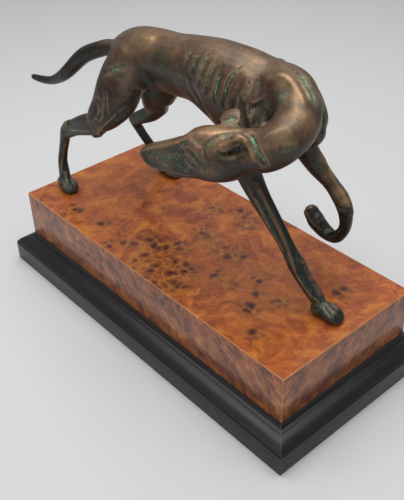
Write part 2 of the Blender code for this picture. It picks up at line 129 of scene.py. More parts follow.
apply_modifier(
    base, "BEVEL", width=ARRIS_EASING, segments=2, limit_method="ANGLE", angle_limit=SHARP_FROM
)
pick(base)
bpy.ops.object.shade_smooth_by_angle(angle=SMOOTH_UP_TO)


def linear(colour):
    """An sRGB hex colour as the linear values that a shader reads."""
    values = [int(colour[i : i + 2], 16) / 255 for i in (0, 2, 4)]
    return [v / 12.92 if v <= 0.04045 else ((v + 0.055) / 1.055) ** 2.4 for v in values] + [1]


def new_material(name):
    """A material with no nodes yet."""
    material = bpy.data.materials.new(name)
    material.use_nodes = True
    material.node_tree.nodes.clear()
    return material


def add_node(material, kind, settings=None, **links):
    """Add a node. settings sets its properties, its sockets and a ramp's stops, which are pairs
    of place and hex colour or grey. Each link names its source, and in_6 is socket number 6."""
    node = material.node_tree.nodes.new("ShaderNode" + kind)
    for key, value in (settings or {}).items():
        if key == "stops":
            elements = node.color_ramp.elements
            while len(elements) < len(value):
                elements.new(0.5)
            for element, (position, colour) in zip(elements, value):
                element.position = position
                element.color = linear(colour) if isinstance(colour, str) else [colour] * 3 + [1]
        elif isinstance(key, int) or key in node.inputs:
            node.inputs[key].default_value = value
        else:
            setattr(node, key, value)
    for key, source in links.items():
        target = node.inputs[int(key[3:]) if key.startswith("in_") else key.replace("_", " ")]
        source = source if isinstance(source, bpy.types.NodeSocket) else source.outputs[0]
        material.node_tree.links.new(source, target)
    return node


def base_share(height):
    """A height on the base as a share of its whole height."""
    return (height - BASE_LOW.z) / base_size.z


# Satin nitrocellulose lacquer over black grain filler: nearly black, an even soft sheen and a
# faint orange-peel skin of about 1.5 mm, with a painted highlight at each mitre and along the
# fillet's edge, painted shade in the groove and the cove, and a lighter painted fascia.
lacquer = new_material("black_satin_lacquer_on_wood")
place = add_node(lacquer, "TexCoord").outputs["Object"]
peel = add_node(lacquer, "TexNoise", {"Scale": 1 / PEEL_SIZE, "Detail": 2.0}, Vector=place)
haze = add_node(lacquer, "TexNoise", {"Scale": 1 / HAZE_SIZE, "Detail": 4.0}, Vector=place)
axes = add_node(lacquer, "SeparateXYZ", Vector=place)
side_x = add_node(lacquer, "Math", {"operation": "ABSOLUTE"}, in_0=axes.outputs["X"])
side_y = add_node(lacquer, "Math", {"operation": "ABSOLUTE"}, in_0=axes.outputs["Y"])
inset_x = add_node(lacquer, "Math", {"operation": "SUBTRACT", 1: base_size.x / 2}, in_0=side_x)
inset_y = add_node(lacquer, "Math", {"operation": "SUBTRACT", 1: base_size.y / 2}, in_0=side_y)
# A painted highlight: a thin paler line along the arris of each mitred corner.
mitre = add_node(lacquer, "Math", {"operation": "SUBTRACT"}, in_0=inset_x, in_1=inset_y)
mitre = add_node(lacquer, "Math", {"operation": "ABSOLUTE"}, in_0=mitre)
mitre = add_node(
    lacquer,
    "MapRange",
    {"From Min": MITRE_INNER, "From Max": MITRE_OUTER, "To Min": 0.55, "To Max": 0.0},
    Value=mitre,
)
body_colour = add_node(
    lacquer, "ValToRGB", {"stops": [(0.3, LACQUER_BLACK), (0.75, LACQUER_HAZED)]}, Fac=haze
)
up_base = add_node(
    lacquer,
    "MapRange",
    {"From Min": BASE_LOW.z, "From Max": BASE_HIGH.z},
    Value=axes.outputs["Z"],
)

# Painted light and shade by height, from the fascia up to the cove, where 1 leaves the colour as it
# is: a lighter fascia, dark groove, ovolo and cove, and a painted highlight on the fillet's edge.
fillet = BASE_HIGH.z - COVE_DROP
ovolo = fillet - STEP_HEIGHT
groove = ovolo - OVOLO_DROP - GROOVE_HEIGHT
profile_light_and_shade = add_node(
    lacquer,
    "ValToRGB",
    {
        "stops": [
            (base_share(groove - 0.2 * MM), 1.5),
            (base_share(groove + 0.1 * MM), 0.15),
            (base_share(groove + GROOVE_HEIGHT - 0.1 * MM), 0.15),
            (base_share(groove + GROOVE_HEIGHT + 0.2 * MM), 0.6),
            (base_share(ovolo - 3 * MM), 0.6),
            (base_share(ovolo - 0.2 * MM), 0.55),
            (base_share(fillet - 0.1 * MM), 2.6),
            (base_share(fillet + 0.3 * MM), 0.2),
            (base_share(BASE_HIGH.z), 0.2),
        ]
    },
    Fac=up_base,
)
lacquer_with_painted_shade = add_node(
    lacquer,
    "Mix",
    {"data_type": "RGBA", "blend_type": "MULTIPLY", 0: 1.0},
    in_6=body_colour,
    in_7=profile_light_and_shade,
)
coat_colour = add_node(
    lacquer,
    "Mix",
    {"data_type": "RGBA", 7: linear(LACQUER_HIGHLIGHT_GREY)},
    in_0=mitre,
    in_6=lacquer_with_painted_shade.outputs[2],
)
skin = add_node(lacquer, "Bump", {"Strength": 0.12, "Distance": PEEL_DEPTH}, Height=peel)
sheen = add_node(lacquer, "ValToRGB", {"stops": [(0.3, 0.34), (0.7, 0.44)]}, Fac=haze)
shader = add_node(
    lacquer,
    "BsdfPrincipled",
    {"IOR": 1.5, "Specular IOR Level": 0.42},
    Base_Color=coat_colour.outputs[2],
    Roughness=sheen,
    Normal=skin,
)
add_node(lacquer, "OutputMaterial", Surface=shader)
base.data.materials.append(lacquer)
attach(base, "root")
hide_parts("moulded_base")

# Burl block. A wood core with leaves of burl veneer glued on its top and four sides, stained
# orange brown, and sealed under a polished clear lacquer. The veneer's edges are sanded thin, and
# the pale golden line along each arris is partly that and partly a painted highlight.
EDGE_EASING = 0.55 * MM
VENEER_GRID = 4 * MM
VENEER_SMOOTH = math.radians(30)
DRIFT_SIZE, DRIFT_AMOUNT = 52 * MM, 46 * MM  # the broad swirl of the leaf
CURL_SIZE, CURL_AMOUNT = 14 * MM, 11 * MM  # the small curls in it
FLAME_SIZE = 19 * MM
GRAIN_SIZE, GRAIN_SLANT, GRAIN_LENGTH = 3 * MM, math.radians(52), 5
STREAK_SIZE, STREAK_SLANT, STREAK_LENGTH = 3.6 * MM, math.radians(-50), 4
BLOTCH_SIZE = 17 * MM
STRAY_SIZE = 33 * MM
HALO_SIZE = 5 * MM
TOP_LEAF = 0.7 * MM
EDGE_LINE_FULL, EDGE_LINE_END = 0.35 * MM, 0.8 * MM
FOOT_DARK_FULL, FOOT_DARK_END = 0.5 * MM, 1.6 * MM
EYE_SPACING = 8 * MM
EYES_LEFT_OUT = 0.22  # share of the cells in a cluster that have no eye
CLUSTER_FADE = 0.72  # below 1, so a cluster carries on a little past its radius
RUST_BROWN, RIM_GOLD, EYE_BROWN, EYE_BLACK = "632B17", "CB8A38", "4A1E16", "250D0B"
EDGE_WEAR_AND_HIGHLIGHT_GOLD, FOOT_SHADE_BROWN = "CB9150", "2A110B"
EYE_CLUSTERS = [  # x, y and radius of each cluster of eyes in the top leaf, in mm
    (-20, -36, 9),
    (-3, -25, 9),
    (-14, -48, 9),
    (-5, -58, 11),
    (6, -47, 9),
    (16, -38, 8),
    (26, -42, 9),
    (18, -58, 10),
    (32, -58, 10),
    (-34, -50, 6),
    (-48, -42, 5),
    (-5, 7, 6),
    (9, 3, 7),
    (20, 0, 7),
    (30, -4, 6),
    (39, 3, 7),
    (49, -25, 6),
    (60, -26, 7),
    (72, -6, 6),
    (92, -33, 7),
    (103, -12, 5),
    (84, -17, 4),
    (-2, 48, 7),
    (14, 42, 7),
    (-23, 35, 6),
    (-52, 8, 4),
    (-73, -48, 5),
    (-44, -62, 5),
    (-108, -54, 7),
    (115, -50, 5),
    (125, 30, 6),
]
start_clean()
bpy.ops.mesh.primitive_cube_add(size=1, location=(BLOCK_LOW + BLOCK_HIGH) / 2)
block = bpy.context.object
block.name = "burl_veneered_block"
block.scale = block_size
bpy.ops.object.transform_apply(location=True, rotation=True, scale=True)
apply_modifier(block, "BEVEL", width=EDGE_EASING, segments=3, limit_method="NONE")
pick(block)
bpy.ops.object.shade_smooth_by_angle(angle=VENEER_SMOOTH)
bpy.ops.object.mode_set(mode="EDIT")
for across in (0, 1):
    half = block_size[across] / 2 - 2 * EDGE_EASING
    cuts = math.ceil(2 * half / VENEER_GRID)
    for k in range(cuts + 1):
        middle = [0, 0, 0]
        middle[across] = -half + 2 * half * k / cuts
        way = [0, 0, 0]
        way[across] = 1
        bpy.ops.mesh.select_all(action="SELECT")
        bpy.ops.mesh.bisect(plane_co=middle, plane_no=way)
bpy.ops.object.mode_set(mode="OBJECT")
eye_field = []
for vertex in block.data.vertices:
    depth = 0
    if vertex.co.z > BLOCK_HIGH.z - EDGE_EASING:
        for x, y, radius in EYE_CLUSTERS:
            away = math.hypot(vertex.co.x - x * MM, vertex.co.y - y * MM) / (radius * MM)
            depth = max(depth, math.exp(-((away * CLUSTER_FADE) ** 4)))
    eye_field.append(depth)
clusters = block.data.attributes.new("eye_clusters", "FLOAT", "POINT")
clusters.data.foreach_set("value", eye_field)

# Elm or poplar burl under amber stain: flame-like orange and brown figure, clusters of dark eyes
# about 7 mm across with golden rims and rust-brown stain round them, slanting streaks on the
# sides, and a polished coat that gives soft reflections.
veneer = new_material("burl_veneer_under_clear_lacquer")
place = add_node(veneer, "TexCoord").outputs["Object"]
axes = add_node(veneer, "SeparateXYZ", Vector=place)
drift = add_node(
    veneer, "TexNoise", {"Scale": 1 / DRIFT_SIZE, "Detail": 3.0, "Roughness": 0.55}, Vector=place
)
drift = add_node(
    veneer, "VectorMath", {"operation": "SUBTRACT", 1: (0.5, 0.5, 0.5)}, in_0=drift.outputs["Color"]
)
drift = add_node(veneer, "VectorMath", {"operation": "SCALE", "Scale": DRIFT_AMOUNT}, in_0=drift)
swirled = add_node(veneer, "VectorMath", {"operation": "ADD"}, in_0=place, in_1=drift)
curl = add_node(veneer, "TexNoise", {"Scale": 1 / CURL_SIZE, "Detail": 2.0}, Vector=swirled)
curl = add_node(
    veneer, "VectorMath", {"operation": "SUBTRACT", 1: (0.5, 0.5, 0.5)}, in_0=curl.outputs["Color"]
)
curl = add_node(veneer, "VectorMath", {"operation": "SCALE", "Scale": CURL_AMOUNT}, in_0=curl)
curled = add_node(veneer, "VectorMath", {"operation": "ADD"}, in_0=swirled, in_1=curl)
flame = add_node(
    veneer,
    "TexNoise",
    {"Scale": 1 / FLAME_SIZE, "Detail": 8.0, "Roughness": 0.64, "Distortion": 1.0},
    Vector=curled,
)
figure = add_node(
    veneer,
    "ValToRGB",
    {
        "stops": [
            (0.25, "652E1B"),
            (0.40, "8A4420"),
            (0.50, "A05326"),
            (0.61, "B26627"),
            (0.72, "C27F2E"),
            (0.86, "D59C48"),
        ]
    },
    Fac=flame,
)

# The side leaves: their pattern runs on round the block, with streaks that slant to its corners.
round_block = add_node(
    veneer, "Math", {"operation": "SUBTRACT"}, in_0=axes.outputs["X"], in_1=axes.outputs["Y"]
)
unrolled = add_node(veneer, "CombineXYZ", in_0=round_block, in_1=axes.outputs["Z"])
side_drift = add_node(veneer, "VectorMath", {"operation": "SCALE", "Scale": 0.35}, in_0=drift)
unrolled = add_node(veneer, "VectorMath", {"operation": "ADD"}, in_0=unrolled, in_1=side_drift)
slanted = add_node(
    veneer,
    "Mapping",
    {"vector_type": "TEXTURE", "Rotation": (0, 0, STREAK_SLANT), "Scale": (STREAK_LENGTH, 1, 1)},
    Vector=unrolled,
)
streak = add_node(
    veneer,
    "TexNoise",
    {"Scale": 1 / STREAK_SIZE, "Detail": 8.0, "Roughness": 0.6, "Distortion": 0.6},
    Vector=slanted,
)
blotch = add_node(
    veneer,
    "TexNoise",
    {"Scale": 1 / BLOTCH_SIZE, "Detail": 4.0, "Roughness": 0.6, "Distortion": 0.8},
    Vector=unrolled,
)
streak = add_node(veneer, "Mix", {0: 0.5}, in_2=streak, in_3=blotch)
side_figure = add_node(
    veneer,
    "ValToRGB",
    {
        "stops": [
            (0.36, "47251F"),
            (0.44, "713E2D"),
            (0.51, "905230"),
            (0.57, "A56336"),
            (0.67, "C38C4E"),
        ]
    },
    Fac=streak,
)
top_side = add_node(
    veneer,
    "Math",
    {"operation": "GREATER_THAN", 1: BLOCK_HIGH.z - TOP_LEAF},
    in_0=axes.outputs["Z"],
)
leaf = add_node(veneer, "Mix", {"data_type": "RGBA"}, in_0=top_side, in_6=side_figure, in_7=figure)
grain_line = add_node(
    veneer,
    "Mapping",
    {"vector_type": "TEXTURE", "Rotation": (0, 0, GRAIN_SLANT), "Scale": (GRAIN_LENGTH, 1, 1)},
    Vector=curled,
)
grain = add_node(
    veneer, "TexNoise", {"Scale": 1 / GRAIN_SIZE, "Detail": 6.0, "Roughness": 0.7}, Vector=grain_line
)
grain = add_node(veneer, "ValToRGB", {"stops": [(0.3, 0.62), (0.5, 1.0), (0.72, 1.4)]}, Fac=grain)
wood = add_node(
    veneer,
    "Mix",
    {"data_type": "RGBA", "blend_type": "MULTIPLY", 0: 0.8},
    in_6=leaf.outputs[2],
    in_7=grain,
)

# The eyes: the clusters painted on the top leaf, and a few strays on the sides.
cluster = add_node(veneer, "Attribute", {"attribute_name": "eye_clusters"}).outputs["Fac"]
stray = add_node(veneer, "TexNoise", {"Scale": 1 / STRAY_SIZE, "Detail": 2.0}, Vector=swirled)
stray = add_node(veneer, "ValToRGB", {"stops": [(0.58, 0.0), (0.66, 0.8)]}, Fac=stray)
side_face = add_node(veneer, "Math", {"operation": "SUBTRACT", 0: 1.0}, in_1=top_side)
stray = add_node(veneer, "Math", {"operation": "MULTIPLY"}, in_0=stray, in_1=side_face)
cluster = add_node(veneer, "Math", {"operation": "MAXIMUM"}, in_0=cluster, in_1=stray)
eye_place = add_node(veneer, "VectorMath", {"operation": "ADD"}, in_0=place, in_1=curl)
eyes = add_node(
    veneer, "TexVoronoi", {"Scale": 1 / EYE_SPACING, "Randomness": 0.9}, Vector=eye_place
)
rims = add_node(
    veneer,
    "TexVoronoi",
    {"feature": "DISTANCE_TO_EDGE", "Scale": 1 / EYE_SPACING, "Randomness": 0.9},
    Vector=eye_place,
)
rim = add_node(
    veneer,
    "MapRange",
    {"interpolation_type": "SMOOTHSTEP", "From Min": 0.2, "From Max": 0.0},
    Value=rims.outputs["Distance"],
)
eye = add_node(
    veneer,
    "MapRange",
    {"interpolation_type": "SMOOTHSTEP", "From Min": 0.68, "From Max": 0.24, "To Max": 0.85},
    Value=eyes.outputs["Distance"],
)
core = add_node(
    veneer,
    "MapRange",
    {"interpolation_type": "SMOOTHSTEP", "From Min": 0.34, "From Max": 0.12, "To Max": 0.7},
    Value=eyes.outputs["Distance"],
)
eye_chance = add_node(veneer, "SeparateColor", Color=eyes.outputs["Color"])
eye_chosen = add_node(
    veneer, "Math", {"operation": "GREATER_THAN", 1: EYES_LEFT_OUT}, in_0=eye_chance.outputs[0]
)
eye_chosen = add_node(veneer, "Math", {"operation": "MULTIPLY"}, in_0=eye_chosen, in_1=cluster)
eye = add_node(veneer, "Math", {"operation": "MULTIPLY"}, in_0=eye, in_1=eye_chosen)
core = add_node(veneer, "Math", {"operation": "MULTIPLY"}, in_0=core, in_1=eye_chosen)
halo = add_node(
    veneer, "TexNoise", {"Scale": 1 / HALO_SIZE, "Detail": 4.0, "Distortion": 2.0}, Vector=curled
)
halo = add_node(veneer, "ValToRGB", {"stops": [(0.5, 0.0), (0.66, 0.6)]}, Fac=halo)
halo = add_node(veneer, "Math", {"operation": "MULTIPLY"}, in_0=halo, in_1=cluster)
rim = add_node(veneer, "Math", {"operation": "MULTIPLY"}, in_0=rim, in_1=cluster)
halo = add_node(
    veneer, "Math", {"operation": "MULTIPLY_ADD", 1: 0.32, "use_clamp": True}, in_0=rim, in_2=halo
)
halo = add_node(veneer, "Math", {"operation": "MULTIPLY", 1: 0.75}, in_0=halo)
rust = add_node(veneer, "Math", {"operation": "MULTIPLY", 1: 0.6}, in_0=cluster)

# The pale line along each arris, partly sanded edge and partly painted highlight, and the painted
# shade along the foot next to the base: how near each place is to an arris or to the base.
reach_x = add_node(veneer, "Math", {"operation": "ABSOLUTE"}, in_0=axes.outputs["X"])
reach_x = add_node(veneer, "Math", {"operation": "SUBTRACT", 0: block_size.x / 2}, in_1=reach_x)
reach_y = add_node(veneer, "Math", {"operation": "ABSOLUTE"}, in_0=axes.outputs["Y"])
reach_y = add_node(veneer, "Math", {"operation": "SUBTRACT", 0: block_size.y / 2}, in_1=reach_y)
reach_z = add_node(veneer, "Math", {"operation": "SUBTRACT", 0: BLOCK_HIGH.z}, in_1=axes.outputs["Z"])
edge_xy = add_node(veneer, "Math", {"operation": "ADD"}, in_0=reach_x, in_1=reach_y)
edge_xz = add_node(veneer, "Math", {"operation": "ADD"}, in_0=reach_x, in_1=reach_z)
edge_yz = add_node(veneer, "Math", {"operation": "ADD"}, in_0=reach_y, in_1=reach_z)
edge = add_node(veneer, "Math", {"operation": "MINIMUM"}, in_0=edge_xy, in_1=edge_xz)
edge = add_node(veneer, "Math", {"operation": "MINIMUM"}, in_0=edge, in_1=edge_yz)
# The pale golden line along each arris: partly sanded veneer edge, partly a painted highlight.
edge = add_node(
    veneer,
    "MapRange",
    {
        "interpolation_type": "SMOOTHSTEP",
        "From Min": EDGE_LINE_END,
        "From Max": EDGE_LINE_FULL,
        "To Max": 0.55,
    },
    Value=edge,
)
# Painted shade: the foot darkens towards the base.
painted_foot_shade = add_node(
    veneer,
    "MapRange",
    {
        "From Min": BLOCK_LOW.z + FOOT_DARK_END,
        "From Max": BLOCK_LOW.z + FOOT_DARK_FULL,
        "To Max": 0.8,
    },
    Value=axes.outputs["Z"],
)
veneer_colour = wood
for share, colour in (
    (rust, RUST_BROWN),
    (halo, RIM_GOLD),
    (eye, EYE_BROWN),
    (core, EYE_BLACK),
    (edge, EDGE_WEAR_AND_HIGHLIGHT_GOLD),
    (painted_foot_shade, FOOT_SHADE_BROWN),
):
    veneer_colour = add_node(
        veneer,
        "Mix",
        {"data_type": "RGBA", 7: linear(colour)},
        in_0=share,
        in_6=veneer_colour.outputs[2],
    )
shader = add_node(
    veneer,
    "BsdfPrincipled",
    {
        "Roughness": 0.38,
        "IOR": 1.5,
        "Specular IOR Level": 0.3,
        "Coat Weight": 0.55,
        "Coat Roughness": 0.13,
    },
    Base_Color=veneer_colour.outputs[2],
)
add_node(veneer, "OutputMaterial", Surface=shader)
block.data.materials.append(veneer)
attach(block, "root")
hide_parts("burl_block")

# Hound. One lost-wax bronze casting with its carving chased into the wax, then given a dark
# brown patina with green verdigris left in the hollows, and rubbed back on the high places;
# painted shade and painted highlights are laid into its patina as well.
# Its places are in mm from the middle of the block's top: x to the chest, y to its left, z up.
HOUND_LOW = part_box("hound")[0]
CASTING_VOXEL = 0.85 * MM
CASTING_SOFTENING = 9  # rounds that melt the solid's facets into one surface
CASTING_TRIANGLES = 190000
MERGE_WITHIN = 0.01 * MM
FLOW_ROUNDS, FLOW_LEVELS, FLOW_GAIN = 60, 10, 1.6
CURVE_STEP = 0.6 * MM
LINE_FADE, LINE_LEAST = 0.16, 0.15  # share of a line that fades at each end, and its least depth
GREEN_SPREAD = 1.15  # verdigris is this much wider than its line
BODY_MIDDLE = 14
HEAD_BACK = (76, -26, 131)  # where the skull meets the neck
HEAD_WAY = (-0.845, -0.42, -0.33)  # the way its nose points
FLOWING = [  # x, y, z and radius of the places where the casting flows without a break
    (-50, -10, 136, 24),
    (-50, 28, 136, 24),
    (66, -8, 148, 15),
    (-100, 6, 130, 10),
]
MASSES = [  # width, rise and the points of each broad swelling or flat of the body
    (6.5, -2.6, [(-52, -10, 117), (-55, -18, 109), (-61, -26, 101), (-69, -29, 94)]),
    (4.5, 2.4, [(-84, -32, 78), (-90.7, -29.9, 71.3), (-98, -31, 68)]),
    (3.0, 1.3, [(-132, -34, 68), (-137, -33, 66), (-141, -33, 61)]),
    (7.0, 1.7, [(73, 43, 52), (78, 43, 46), (84, 43, 41), (90, 44, 37)]),
    (7.0, 0.9, [(82, 43, 42), (90, 44, 37), (99, 45, 33)]),
    (3.6, 1.0, [(108, 45, 69), (113, 47, 61), (115, 48, 54)]),
    (5.0, 1.2, [(-139, -33, 60), (-142, -33, 46), (-146, -36, 26), (-142, -36, 13)]),
    (5.5, 2.2, [(102, -5, 42), (110, -5, 31), (117, -5, 24), (124, -5, 19), (132, -4, 14)]),
    (4.5, 1.6, [(108, -1, 41), (115, -1, 32), (121, -1, 25), (127, -1, 18), (133, 0, 14)]),
    (5.0, 3.0, [(-90, 21, 101), (-92, 22, 92), (-95, 25, 82), (-101, 29, 73)]),
    (3.5, -0.9, [(76, -3, 86), (88, -3, 70), (102, -3, 51), (115, -3, 30)]),
]
RIBS = [  # the points of each groove on its right side, from the back to the flank
    [(-3.9, -0.9, 161.3), (-4.2, -3.4, 158.2), (-3.0, -4.6, 155.2)],
    [(5.8, -1.2, 162.3), (5, -3.9, 158.8), (4.3, -5.3, 154.6), (4.7, -6.7, 150.3)],
    [(14.7, 1.2, 164.6), (13.7, -2.6, 161.1), (13.2, -5.5, 155.9), (13, -7.6, 148.3), (12.8, -8.8, 142.5)],
    [(23.9, -0.1, 163.3), (23.1, -4.1, 158.5), (22.3, -5.8, 154.4), (21.8, -7.9, 147.4), (21.4, -8.7, 139.3)],
    [(31.8, -4.7, 156.3), (30.9, -6.3, 151.3), (30.1, -7.9, 145.7), (29.5, -8.9, 140.6), (28.6, -8.6, 134.1)],
    [(46.3, 4.4, 164.4), (43.5, -1.7, 159.7), (41, -4.4, 155.1), (40, -6.8, 150.1), (38.1, -8.8, 136.7)],
    [(52.8, -4.9, 152.2), (51.3, -6.2, 148.5), (50.6, -7.4, 144.2), (50.6, -8.3, 137.9)],
    [(56.8, -1.9, 157.6), (58, -4.4, 153.7), (57.3, -6.4, 149.8), (57.7, -8.2, 144.7)],
]
RIB_WIDTH, RIB_DEPTH = 0.95, 0.75
LINES = [  # width, rise, verdigris, then the points of each line on the body
    (4.6, -1.5, 0.0, [(-12, -6, 152), (-4, -8, 146), (4, -9, 140), (7.3, -7, 131), (9.9, 1, 115)]),
    (2.2, -0.9, 0.8, [(-80, -23, 127.5), (-70.5, -21, 132.5), (-62, -16, 136)]),
    (1.7, -1.2, 0.6, [(-86, -31, 107), (-81.5, -32, 100), (-81, -33, 94), (-84.5, -34.5, 87.5)]),
    (1.2, -0.8, 0.5, [(-76, -29, 115), (-74.5, -31, 107), (-74.5, -32, 98.5)]),
    (2.4, -1.0, 1.0, [(80, 18.5, 166), (92.6, 13.7, 163.5), (103.8, 10.4, 157), (110.5, 6.3, 151)]),
    (1.3, -0.9, 0.6, [(86, 12, 167), (97, 7.5, 163), (106, 4, 156)]),
    (1.5, -1.1, 0.3, [(91, 20, 161.7), (101.4, 18, 153), (105.6, 18.5, 141.6), (107, 16.4, 129)]),
    (6.5, -1.8, 0.3, [(66, -7, 147), (72, -7, 140), (76, -8, 133)]),
    (1.2, -0.9, 0.9, [(63, -9, 146), (63.9, -7.2, 142.2), (64.9, -9.9, 136.1)]),
    (2.4, -1.7, 0.25, [(68, -11, 87), (74, -10.5, 79), (79, -9.5, 73), (92, -9, 54), (104, -8, 40)]),
    (2.6, 0.8, 0.0,
     [(70, 8, 165), (85, 5.8, 165), (95, 2.7, 162.3), (102.5, 0.5, 158.6), (108.6, -3, 153.7)]),
    (2.6, 0.6, 0.0, [(108.6, -3, 153.7), (112, -9, 148.6), (111, -16, 145), (108, -21.5, 143.4)]),
    (2.0, 0.8, 0.0, [(-3, -8.2, 143), (1.2, -5.4, 132), (5, -1.4, 121)]),
    (1.5, 1.4, 0.0, [(72.4, -7.5, 86), (84.3, -7, 70.4), (98.6, -6.6, 51.6), (113.3, -6.3, 28.3)]),
    (1.6, 1.0, 0.0, [(84.4, 42.7, 99.3), (94.8, 43.2, 85.3), (104.3, 44.4, 73.9), (111.6, 45.8, 64.7)]),
    (1.2, -0.6, 0.0, [(103, 42, 63), (108, 43, 61.5), (114, 47, 61)]),
    (1.5, 0.9, 0.0, [(-90.7, -29.9, 71.3), (-83.7, -32.6, 79.1), (-67.3, -29, 96.2), (-56.8, -22.3, 105.6)]),
    (1.5, 0.7, 0.0, [(-128, -34.8, 63.3), (-114.8, -35.4, 68.4), (-103, -34, 72), (-92, -32, 76)]),
    (1.4, 0.7, 0.0, [(-141.5, -32.4, 47.6), (-146.7, -37.1, 21.9), (-140.1, -38.6, 11.8)]),
    (1.2, 1.0, 0.0, [(113.3, -6.3, 28.3), (124.2, -4.7, 18.2), (129.7, -4.1, 13.8), (135, -5, 11)]),
    (1.5, -1.3, 0.6, [(118, -8, 22), (124, -7.5, 14), (130, -7.5, 8)]),
    (1.2, -1.0, 0.3, [(136, -2, 10.5), (142, -3, 7), (146, -3, 3)]),
    (1.2, -1.0, 0.3, [(135, 2, 10.5), (141, 2, 7), (145, 3, 3)]),
    (1.6, 0.9, 0.0, [(-143, -36, 18), (-140.1, -38.6, 11.8), (-134, -41, 6)]),
    (1.3, -0.8, 0.3, [(-139, -34.5, 13), (-134, -37, 9), (-129, -38, 4)]),
    (1.0, 0.6, 0.0, [(76, 38.5, 46), (84, 40, 39), (93, 42, 33)]),
]
FACE_LINES = [  # width, rise, verdigris, then reach, out and rise on the head; on both sides
    (1.3, 0.9, 0.0, [(76, 4, 4.7), (63, 4.5, 5.7), (52.6, 5, 5.6), (43.6, 5.5, 6.7)]),
    (2.6, -0.8, 0.5, [(77.4, 4.5, 2.2), (63.8, 6, 1), (50.9, 7, 1.1), (40, 8, 1.2)]),
    (1.7, -1.5, 0.8, [(43.5, 6.5, 5.2), (41.7, 4.9, 5.0), (38, 7, 6)]),
    (1.5, 0.9, 0.0, [(34, 6.5, 9), (31, 8, 5.3), (26, 10.5, 1.7), (25.6, 12, -1.1), (25.6, 13, -5.5)]),
    (1.2, -0.7, 0.7, [(36.2, 9, 1.2), (33.7, 10, -1.7), (29.7, 12, -6.3)]),
    (1.2, 0.7, 0.4, [(39.7, 8.6, -0.2), (36.6, 8.7, -4.4), (31.9, 10.4, -10.3)]),
    (1.4, -0.9, 0.6, [(42.3, 8.5, -2), (39, 9, -7.5), (34, 10, -12)]),
    (2.8, -0.7, 0.7, [(66, 6.5, -1.3), (53.5, 7, -4.3), (46.9, 7.5, -5.1)]),
    (1.2, 0.6, 0.0, [(77.7, 4.5, 2.5), (75.9, 5, -4.9), (73, 5.5, -8.7), (67.7, 6, -12.4), (62.3, 6, -14.4)]),
    (1.2, 0.6, 0.0, [(62.3, 6, -14.4), (56.3, 6.5, -15.3), (48.7, 7, -18.2), (43, 8, -20.2)]),
    (3.0, 0.7, 0.0, [(33, 11, -14.5), (30, 11, -15)]),
]
EAR_LINES = [  # the same on the near and far ears alone
    (2.3, 2.9, 0.0, [(13, 12.5, 1.2), (6.2, 11.5, 1.2), (0.5, 10.8, 1.8), (-5, 11, 2)]),
    (1.7, -1.2, 0.8, [(24.4, 11, 2.5), (18.9, 9, 5.2), (11.8, 7, 7), (4, 5, 6.4), (-1.5, 4.5, 5.3)]),
    (1.8, -1.4, 1.0,
     [(-6, 4.2, 5), (-10.6, 9.4, 2), (-13.6, 13.2, -3.7), (-16.4, 15, -10.3), (-17.3, 15, -16)]),
    (2.2, -2.2, 0.0, [(9, 11.6, -2.6), (5.2, 10.3, -3.6), (-0.9, 10.9, -3.2)]),
    (1.3, 1.0, 0.0, [(-7.9, 14.3, 5.6), (-8.5, 15, 0.2), (-10.1, 16.8, -5.6), (-12.3, 17.2, -12.2)]),
    (1.2, 0.7, 0.0,
     [(16, 12.7, 1.3), (9.2, 15.9, 4.1), (2.7, 16.4, 5.5), (-3.1, 15.8, 6.4), (-6.8, 14.3, 6.5)]),
    (1.5, -0.9, 1.0, [(17, -8, 10.5), (9.5, -8, 11), (2, -8, 10)]),
]
EAR_OPENING_SHADE = [  # reach, out, rise and radius of the painted shade in the ear's opening
    (6, 11, -3, 4.5),
    (0, 11, -3, 4.5),
]
SHADED = [  # x, y, z, radius and strength of the painted shade between the legs
    (-86, 21, 90, 11, 0.8),
    (-74, 23, 88, 12, 0.8),
    (-92, 26, 77, 9, 0.7),
    (-110, 29, 62, 10, 0.6),
    (-44, -4, 119, 9, 0.6),
    (-57, -14, 106, 7, 0.5),
]
RUBBED_AND_HIGHLIT = [  # x, y, z, radius and strength of the places where the patina is rubbed to bronze and a highlight is painted
    (-50, -2, 157, 10, 0.85),
    (-58, 0, 157, 18, 0.6),
    (-20, 4, 162, 18, 0.35),
    (20, 5, 166, 16, 0.4),
    (50, 8, 166, 16, 0.5),
    (82, 7, 166, 9, 0.7),
    (98, 2, 161, 10, 0.75),
    (110, -8, 150, 10, 0.75),
    (108, -22, 144, 10, 0.65),
    (98, -28, 136, 8, 0.4),
    (-70, -18, 135, 16, 0.2),
    (-66, -19, 130, 14, 0.15),
    (88, 42.5, 94, 6, 0.55),
    (96, 43, 84, 6, 0.6),
    (105, 44, 73, 6, 0.75),
    (110, 45, 67, 4, 0.8),
    (-84, -32, 79, 4, 0.35),
    (-137, -33, 66, 3, 0.5),
]
HEAD_RUBBED_AND_HIGHLIT = [  # reach, out, rise, radius and strength of the same on the head
    (18, 2, 9, 13, 0.85),
    (34, 3, 9, 8, 0.7),
    (60, 0, 6, 11, 0.4),
    (29, 11, 3, 5, 0.5),
    (6, 15, 4, 6, 0.7),
    (-6, 14, 5, 5, 0.6),
    (-10, 16, -4, 4, 0.45),
    (6, -13, 13, 6, 0.35),
    (26, 13, -14, 6, 0.25),
    (60, 7, -9, 5, 0.25),
]
